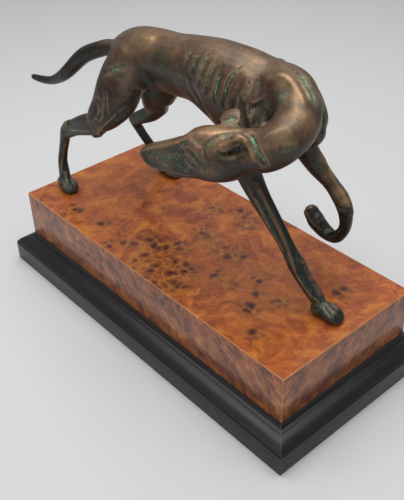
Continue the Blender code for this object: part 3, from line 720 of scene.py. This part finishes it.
GREEN_SPOTS = [  # x, y, z, radius and strength of the patches of verdigris
    (-59, -23, 118, 4, 0.5),
    (-30, -9, 142, 4, 0.7),
    (-14, -8, 139, 6, 0.5),
    (-4, -7, 138, 5, 0.5),
    (-78, -23, 128, 4, 0.5),
    (88, -3, 157.5, 4, 0.9),
    (86, 15.5, 165, 4, 0.8),
    (94, 12, 162, 4.5, 0.85),
    (104, 9.5, 156, 4, 0.8),
    (-70.5, -21, 132.5, 4.5, 0.7),
    (-82, -31.5, 97, 4, 0.6),
    (109, -12.5, 150, 4, 0.5),
    (112.5, -20.5, 135, 4.5, 0.8),
    (74, -7, 142, 8, 0.45),
    (134, -4, 8, 10, 0.6),
    (-140, -38, 8, 9, 0.4),
    (88, 36, 90, 8, 0.4),
    (84, -10, 64, 9, 0.3),
    (-86, 28, 86, 12, 0.4),
    (104, 16, 150, 9, 0.5),
]
HEAD_GREEN = [  # reach, out, rise, radius and strength of the same on the head
    (60, 7, -5, 9, 0.5),
    (46, 8, -7, 7, 0.55),
    (30, 12, -10, 6, 0.4),
    (20, 10, 4, 4, 0.8),
    (-13, 13, -3, 3.5, 0.9),
    (-16, 14.5, -10, 3.5, 0.8),
    (9.5, -8.5, 11, 4, 0.8),
]
DARK_BELOW, DARK_ABOVE = 70, 128  # heights between which the patina goes from black green to brown
TAIL_DARK_FROM, TAIL_DARK_TO = -100, -124  # the same along the tail
TAIL_DARK = 0.85
SIDE_SHADE, UNDERSIDE_SHADE_SLOPE = 0.35, 1.2  # painted shade: how dark upright sides are, and how fast it deepens on undersides
# painted light: how much lighter the faces that look up are made
TOP_PAINTED_LIGHT = 0.35
FINE_ROUNDS, LOCAL_ROUNDS, BROAD_ROUNDS = 6, 40, 60
RELIEF_PERCENTILE = 96
BROAD_DEPTH = 0.9  # mm below the smoothed surface at which a broad hollow is fully dark
FINE_SHARE, BROAD_SHARE = 0.7, 0.6
RUBBED_AND_LIT_SLOPE = 0.35  # upward share above which the patina is handled thin and painted lighter as top light
HANDLED_AND_LIT_FROM, HANDLED_AND_LIT_RANGE = 80, 50  # height at which handling and painted top light start, and over which they grow
# how much handling and painted top light rub the patina, and how much the tail is spared
HANDLED_AND_LIT_RUB, TAIL_SPARED = 0.33, 0.9
MOTTLE_SIZE, TINT_SIZE = 12 * MM, 19 * MM
SPECK_SIZE, FLECK_SIZE = 2.2 * MM, 1.1 * MM
SPECK_DEPTH = 0.25 * MM
HOLLOW_AND_SHADE_BLACK, BARE_BRONZE_AND_HIGHLIGHT = "0B0A08", "A88460"


def sculpted(point):
    """A place on the hound, from mm to metres in the frame."""
    return np.array(point, float) * MM + (0, 0, HOUND_LOW.z)


def on_head(point):
    """A place on the hound's head, from reach to the nose, out to its left and rise."""
    along = np.array(HEAD_WAY) / np.linalg.norm(HEAD_WAY)
    left = np.cross((0, 0, 1), along)
    left = left / np.linalg.norm(left)
    reach, out, rise = point
    return np.array(HEAD_BACK) + along * reach + left * out + np.cross(along, left) * rise


def smooth_line(points):
    """A smooth curve through the points, in short even steps."""
    points = np.array(points, float)
    padded = np.vstack([2 * points[0] - points[1], points, 2 * points[-1] - points[-2]])
    found = []
    for i in range(len(points) - 1):
        a, b, c, d = padded[i : i + 4]
        steps = max(2, math.ceil(np.linalg.norm(c - b) / CURVE_STEP))
        for t in np.arange(steps) / steps:
            square = 2 * a - 5 * b + 4 * c - d
            cubic = -a + 3 * b - 3 * c + d
            found.append(0.5 * (2 * b + (c - a) * t + square * t**2 + cubic * t**3))
    found.append(points[-1])
    return np.array(found)


def read_vertices(mesh, what="co"):
    """The places or the normals of a mesh's points, one to a row."""
    values = np.empty(len(mesh.vertices) * 3, np.float32)
    mesh.vertices.foreach_get(what, values)
    return values.reshape(-1, 3).astype(float)


def write_vertices(mesh, places):
    """Move a mesh's points to these places."""
    mesh.vertices.foreach_set("co", places.astype(np.float32).ravel())
    mesh.update()


def chase(mesh, points, width, rise, green=0.0):
    """Press a line into the casting, or raise it, along a curve laid on its surface. The line
    fades at both ends, and green is how much verdigris is left along it."""
    places = read_vertices(mesh)
    normals = read_vertices(mesh, "normal")
    targets = [sculpted(p) for p in points]
    landed = [places[np.argmin(((places - t) ** 2).sum(axis=1))] for t in targets]
    line = smooth_line(landed)
    fade = np.linspace(0, 1, len(line))
    fade = np.clip(np.minimum(fade, 1 - fade) / LINE_FADE, LINE_LEAST, 1)
    reach = 3 * width * MM
    near = np.flatnonzero(
        ((places > line.min(axis=0) - reach) & (places < line.max(axis=0) + reach)).all(axis=1)
    )
    gaps = ((places[near][:, None, :] - line[None, :, :]) ** 2).sum(axis=2)
    closest = gaps.argmin(axis=1)
    distance = np.sqrt(gaps.min(axis=1)) / (width * MM)
    push = np.exp(-(distance**2)) * fade[closest]
    places[near] += normals[near] * (push * rise * MM)[:, None]
    write_vertices(mesh, places)
    left_green = green * np.exp(-((distance / GREEN_SPREAD) ** 2)) * fade[closest]
    verdigris[near] = np.maximum(verdigris[near], left_green)


def smoothed(mesh, values, rounds):
    """Values of the mesh's points, each evened out with its neighbours' over some rounds."""
    edges = np.empty(len(mesh.edges) * 2, np.int32)
    mesh.edges.foreach_get("vertices", edges)
    a, b = edges.reshape(-1, 2).T
    count = np.bincount(np.concatenate([a, b]), minlength=len(values))[:, None]
    for _ in range(rounds):
        total = np.empty_like(values)
        for column in range(values.shape[1]):
            total[:, column] = np.bincount(a, values[b, column], len(values))
            total[:, column] += np.bincount(b, values[a, column], len(values))
        values = 0.5 * values + 0.5 * total / count
    return values


def surface_hollows(mesh, rounds):
    """How far each point lies below the smoothed surface round it, in mm: hollows are positive."""
    places = read_vertices(mesh)
    moved = smoothed(mesh, places, rounds) - places
    return (moved * read_vertices(mesh, "normal")).sum(axis=1) / MM


def spots(places, rows):
    """The strongest of the soft round spots at each place, from rows of place, radius, strength."""
    strongest = np.zeros(len(places))
    for *middle, radius, strength in rows:
        away = np.linalg.norm(places - sculpted(middle), axis=1) / (radius * MM)
        strongest = np.maximum(strongest, strength * np.exp(-(away**2)))
    return strongest


start_clean()
hound = bpy.data.objects.new("bronze_hound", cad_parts["hound"].data.copy())
bpy.context.scene.collection.objects.link(hound)
pick(hound)
hound.data.materials.clear()
bpy.ops.object.mode_set(mode="EDIT")
bpy.ops.mesh.select_all(action="SELECT")
bpy.ops.mesh.remove_doubles(threshold=MERGE_WITHIN)
bpy.ops.object.mode_set(mode="OBJECT")
apply_modifier(hound, "REMESH", mode="VOXEL", voxel_size=CASTING_VOXEL)
apply_modifier(hound, "SMOOTH", factor=0.5, iterations=CASTING_SOFTENING)
places = read_vertices(hound.data)
flow = hound.vertex_groups.new(name="flow")
weight = np.zeros(len(places))
for x, y, z, radius in FLOWING:
    away = np.linalg.norm(places - sculpted((x, y, z)), axis=1) / (radius * MM)
    weight = np.maximum(weight, np.clip(FLOW_GAIN * (1 - away), 0, 1))
for level in range(1, FLOW_LEVELS + 1):
    chosen = np.flatnonzero(np.round(weight * FLOW_LEVELS) == level)
    flow.add([int(i) for i in chosen], level / FLOW_LEVELS, "REPLACE")
apply_modifier(hound, "SMOOTH", factor=0.5, iterations=FLOW_ROUNDS, vertex_group="flow")
casting = hound.data
verdigris = np.zeros(len(casting.vertices))
for width, rise, points in MASSES:
    chase(casting, points, width, rise)
for width, rise, green, points in LINES:
    chase(casting, points, width, rise, green)
for points in RIBS:
    for side in (1, -1):
        groove_points = [(x, BODY_MIDDLE + side * (y - BODY_MIDDLE), z) for x, y, z in points]
        chase(casting, groove_points, RIB_WIDTH, -RIB_DEPTH, 1.0)
for width, rise, green, points in FACE_LINES:
    for side in (1, -1):
        chase(casting, [on_head((r, side * out, up)) for r, out, up in points], width, rise, green)
for width, rise, green, points in EAR_LINES:
    chase(casting, [on_head(p) for p in points], width, rise, green)
places = read_vertices(casting)
places[:, 2] = np.maximum(places[:, 2], HOUND_LOW.z)
write_vertices(casting, places)

# What the patina follows: hollows, crests, rubbed places with painted highlight, verdigris, and dark
# places with painted shade on sides and undersides, written as two attributes before the mesh is thinned.
fine = surface_hollows(casting, FINE_ROUNDS)
relief = fine - smoothed(casting, fine[:, None], LOCAL_ROUNDS)[:, 0]
relief = relief / np.percentile(np.abs(relief), RELIEF_PERCENTILE)
broad = surface_hollows(casting, BROAD_ROUNDS)
# Painted shade in the ear's opening and between the legs, added to the hollows.
painted_shade_places = spots(places, [(*on_head(row[:3]), row[3], 1.0) for row in EAR_OPENING_SHADE])
painted_shade_places = np.maximum(painted_shade_places, spots(places, SHADED))
# Dark patina in the hollows, with the painted shade added to it.
hollow_patina_and_shade = np.clip(relief, 0, 1) * FINE_SHARE + np.clip(broad / BROAD_DEPTH, 0, 1) * BROAD_SHARE
hollow_patina_and_shade = hollow_patina_and_shade + painted_shade_places
crest = np.clip(-relief, 0, 1)
rubbed_and_highlit = spots(places, RUBBED_AND_HIGHLIT + [(*on_head(row[:3]), *row[3:]) for row in HEAD_RUBBED_AND_HIGHLIT])
patches = spots(places, GREEN_SPOTS + [(*on_head(row[:3]), *row[3:]) for row in HEAD_GREEN])
verdigris = np.maximum(verdigris, patches)
height = (places[:, 2] - HOUND_LOW.z) / MM
facing_up = read_vertices(casting, "normal")[:, 2]
tail = np.clip((TAIL_DARK_FROM - places[:, 0] / MM) / (TAIL_DARK_FROM - TAIL_DARK_TO), 0, 1)
# Upward faces higher up: partly handling wear, partly painted top light.
handled_and_top_lit = np.clip((facing_up - RUBBED_AND_LIT_SLOPE) / (1 - RUBBED_AND_LIT_SLOPE), 0, 1)
handled_and_top_lit = handled_and_top_lit * np.clip((height - HANDLED_AND_LIT_FROM) / HANDLED_AND_LIT_RANGE, 0, 1)
rubbed_and_highlit = np.maximum(rubbed_and_highlit, HANDLED_AND_LIT_RUB * handled_and_top_lit * (1 - TAIL_SPARED * tail))
# Darker low down and along the tail, with painted shade on upright sides and undersides and painted light on
# the tops.
dark_patina_and_shade = (DARK_ABOVE - height) / (DARK_ABOVE - DARK_BELOW) - TOP_PAINTED_LIGHT * np.clip(facing_up, 0, 1)
side_and_underside_shade = np.clip(SIDE_SHADE - UNDERSIDE_SHADE_SLOPE * facing_up, 0, 0.9)
dark_patina_and_shade = np.clip(np.maximum.reduce([dark_patina_and_shade, TAIL_DARK * tail, side_and_underside_shade]), 0, 1)
# The patina attribute: verdigris, rubbed places with painted highlight, dark places with painted shade, and
# hollows with painted shade.
patina = casting.attributes.new("patina", "FLOAT_COLOR", "POINT")
values = np.clip(np.stack([verdigris, rubbed_and_highlit, dark_patina_and_shade, hollow_patina_and_shade], axis=1), 0, 1)
patina.data.foreach_set("color", values.astype(np.float32).ravel())
wear = casting.attributes.new("wear", "FLOAT", "POINT")
wear.data.foreach_set("value", crest.astype(np.float32))
casting.calc_loop_triangles()
apply_modifier(hound, "DECIMATE", ratio=CASTING_TRIANGLES / len(casting.loop_triangles))
hound.data.shade_smooth()

# Patinated bronze: brown copper-sulphide patina over the metal, satin with wax, black green on
# the lower legs, warm bronze where rubbed and where highlight is painted, painted shade on sides,
# undersides and between the legs, and chalky blue-green verdigris in lines and hollows.
# Its grains are drawn 1 to 2 mm wide, which is coarser than the real ones, so that they show.
bronze = new_material("patinated_bronze_waxed")
place = add_node(bronze, "TexCoord").outputs["Object"]
painted = add_node(bronze, "Attribute", {"attribute_name": "patina"})
channels = add_node(bronze, "SeparateColor", Color=painted.outputs["Color"])
green_line, rubbed_and_highlit_place, dark_patina_and_shade_share = channels.outputs[0], channels.outputs[1], channels.outputs[2]
hollow_and_shade = painted.outputs["Alpha"]
on_crest = add_node(bronze, "Attribute", {"attribute_name": "wear"}).outputs["Fac"]
mottle = add_node(
    bronze, "TexNoise", {"Scale": 1 / MOTTLE_SIZE, "Detail": 6.0, "Roughness": 0.65}, Vector=place
)
tint = add_node(bronze, "TexNoise", {"Scale": 1 / TINT_SIZE, "Detail": 3.0}, Vector=place)
speck = add_node(
    bronze, "TexNoise", {"Scale": 1 / SPECK_SIZE, "Detail": 4.0, "Roughness": 0.65}, Vector=place
)
fleck = add_node(
    bronze, "TexNoise", {"Scale": 1 / FLECK_SIZE, "Detail": 3.0, "Roughness": 0.7}, Vector=place
)
red_brown = add_node(
    bronze,
    "ValToRGB",
    {"stops": [(0.3, "1E1210"), (0.46, "351F18"), (0.58, "482C20"), (0.72, "5E3B29")]},
    Fac=mottle,
)
olive_brown = add_node(
    bronze,
    "ValToRGB",
    {"stops": [(0.3, "171612"), (0.48, "26231C"), (0.6, "353026"), (0.75, "433B2C")]},
    Fac=mottle,
)
black_green = add_node(
    bronze, "ValToRGB", {"stops": [(0.35, "0D0F0D"), (0.55, "171A17"), (0.7, "222822")]}, Fac=mottle
)
tint_share = add_node(bronze, "ValToRGB", {"stops": [(0.4, 0.0), (0.6, 1.0)]}, Fac=tint)
brown = add_node(
    bronze, "Mix", {"data_type": "RGBA"}, in_0=tint_share, in_6=red_brown, in_7=olive_brown
)
patina_and_shade_colour = add_node(
    bronze, "Mix", {"data_type": "RGBA"}, in_0=dark_patina_and_shade_share, in_6=brown.outputs[2], in_7=black_green
)
# Darkened towards near black in the hollows and where shade is painted.
shade_hollow = add_node(bronze, "Math", {"operation": "MULTIPLY", 1: 0.85}, in_0=hollow_and_shade)
hollow_and_shade_colour = add_node(
    bronze,
    "Mix",
    {"data_type": "RGBA", 7: linear(HOLLOW_AND_SHADE_BLACK)},
    in_0=shade_hollow,
    in_6=patina_and_shade_colour.outputs[2],
)

# Rubbed and painted highlight: on crests and in the chosen places, more or less by the mottle and specks.
rub_and_highlight = add_node(
    bronze, "Math", {"operation": "MULTIPLY_ADD", 1: 0.42}, in_0=on_crest, in_2=rubbed_and_highlit_place
)
rub_grain = add_node(bronze, "ValToRGB", {"stops": [(0.3, 0.6), (0.6, 1.0)]}, Fac=speck)
rub_patch = add_node(bronze, "ValToRGB", {"stops": [(0.35, 0.7), (0.6, 1.1)]}, Fac=mottle)
rub_and_highlight = add_node(bronze, "Math", {"operation": "MULTIPLY"}, in_0=rub_and_highlight, in_1=rub_grain)
rub_and_highlight = add_node(bronze, "Math", {"operation": "MULTIPLY", "use_clamp": True}, in_0=rub_and_highlight, in_1=rub_patch)
# Bare bronze colour, standing in for rubbed metal and for painted highlight.
metal = add_node(
    bronze,
    "Mix",
    {"data_type": "RGBA", 7: linear(BARE_BRONZE_AND_HIGHLIGHT)},
    in_0=rub_and_highlight,
    in_6=hollow_and_shade_colour.outputs[2],
)

# Where it is green: along the chased lines, in patches and in hollows, broken up by the flecks.
speckle = add_node(bronze, "ValToRGB", {"stops": [(0.42, 0.15), (0.6, 1.0)]}, Fac=fleck)
green_hollow = add_node(bronze, "Math", {"operation": "MULTIPLY", 1: 0.38}, in_0=hollow_and_shade)
green = add_node(bronze, "Math", {"operation": "MAXIMUM"}, in_0=green_line, in_1=green_hollow)
green = add_node(bronze, "Math", {"operation": "MULTIPLY", "use_clamp": True}, in_0=green, in_1=speckle)
dark_verdigris = add_node(
    bronze, "ValToRGB", {"stops": [(0.35, "14241D"), (0.5, "234335"), (0.65, "4A7A62")]}, Fac=speck
)
pale_verdigris = add_node(
    bronze, "ValToRGB", {"stops": [(0.3, "2E5540"), (0.5, "5C8A6C"), (0.65, "9CBFA0")]}, Fac=speck
)
pale_share = add_node(bronze, "MapRange", {"From Min": 0.6, "From Max": 1.0}, Value=green_line)
verdigris_colour = add_node(
    bronze,
    "Mix",
    {"data_type": "RGBA"},
    in_0=pale_share,
    in_6=dark_verdigris,
    in_7=pale_verdigris,
)
coloured = add_node(
    bronze,
    "Mix",
    {"data_type": "RGBA"},
    in_0=green,
    in_6=metal.outputs[2],
    in_7=verdigris_colour.outputs[2],
)
dull = add_node(bronze, "Math", {"operation": "MULTIPLY_ADD", 1: 0.35, 2: 0.26}, in_0=green)
dull = add_node(bronze, "Math", {"operation": "MULTIPLY_ADD", 1: 0.2}, in_0=speck, in_2=dull)
bare = add_node(bronze, "Math", {"operation": "MULTIPLY_ADD", 1: 0.35, 2: 0.25}, in_0=rub_and_highlight)
bare = add_node(bronze, "Math", {"operation": "SUBTRACT", "use_clamp": True}, in_0=bare, in_1=green)
cast_skin = add_node(bronze, "Bump", {"Strength": 0.4, "Distance": SPECK_DEPTH}, Height=speck)
shader = add_node(
    bronze,
    "BsdfPrincipled",
    Base_Color=coloured.outputs[2],
    Roughness=dull,
    Metallic=bare,
    Normal=cast_skin,
)
add_node(bronze, "OutputMaterial", Surface=shader)
hound.data.materials.append(bronze)
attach(hound, "root")
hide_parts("hound")

# Table, light and camera. A plain pale table top under one wide soft light from overhead, with
# weak fill all round, and the camera where the photograph was taken from.
TABLE_SIZE = 12
TABLE_GAP = 0.1 * MM
TABLE_GREY, STUDIO_WHITE = "C8C8C8", "E6E8EA"
STUDIO_FILL = 0.4
LIT_PLACE = (0, 0, 0.1)
CAMERA_PLACE = (0.40333, -0.34384, 0.45041)
CAMERA_TURN, CAMERA_RISE = math.radians(49.4777), math.radians(36.3537)
CAMERA_ROLL = math.radians(-1.6267)
CAMERA_LENS = 56.415
start_clean()
bpy.ops.mesh.primitive_plane_add(size=TABLE_SIZE, location=(0, 0, BASE_LOW.z - TABLE_GAP))
table = bpy.context.object
table.name = "table_top"
bpy.ops.object.transform_apply(location=True, rotation=True, scale=True)

# Matt white paper: a flat pale grey with no shine.
paper = new_material("matt_white_paper")
shader = add_node(paper, "BsdfPrincipled", {"Base Color": linear(TABLE_GREY), "Roughness": 0.9})
add_node(paper, "OutputMaterial", Surface=shader)
table.data.materials.append(paper)


def add_softbox(name, stand, target, size, power):
    """A square soft light at a place, turned to a target."""
    light = bpy.data.lights.new(name, "AREA")
    light.size = size
    light.energy = power
    lamp = bpy.data.objects.new(name, light)
    lamp.location = stand
    lamp.rotation_euler = (Vector(target) - Vector(stand)).to_track_quat("-Z", "Y").to_euler()
    bpy.context.scene.collection.objects.link(lamp)


add_softbox("overhead_softbox", (-0.045, 0.005, 1.13), LIT_PLACE, size=1.25, power=15.6)
add_softbox("front_fill", (0.2, -1.4, 0.8), LIT_PLACE, size=1.0, power=3)
world = bpy.data.worlds.new("studio")
world.use_nodes = True
sky = world.node_tree.nodes["Background"]
sky.inputs["Color"].default_value = linear(STUDIO_WHITE)
sky.inputs["Strength"].default_value = STUDIO_FILL
bpy.context.scene.world = world
bpy.context.scene.view_settings.view_transform = "Standard"

level_reach = math.cos(CAMERA_RISE)
backward = Vector(
    (math.sin(CAMERA_TURN) * level_reach, -math.cos(CAMERA_TURN) * level_reach, math.sin(CAMERA_RISE))
)
rightward = Vector((math.cos(CAMERA_TURN), math.sin(CAMERA_TURN), 0))
upward = backward.cross(rightward)
rolled = Matrix.Rotation(CAMERA_ROLL, 3, backward)
camera_axes = Matrix((rolled @ rightward, rolled @ upward, backward)).transposed()
camera_data = bpy.data.cameras.new("camera")
camera_data.lens = CAMERA_LENS
camera = bpy.data.objects.new("camera", camera_data)
camera.matrix_world = Matrix.Translation(CAMERA_PLACE) @ camera_axes.to_4x4()
bpy.context.scene.collection.objects.link(camera)
bpy.context.scene.camera = camera
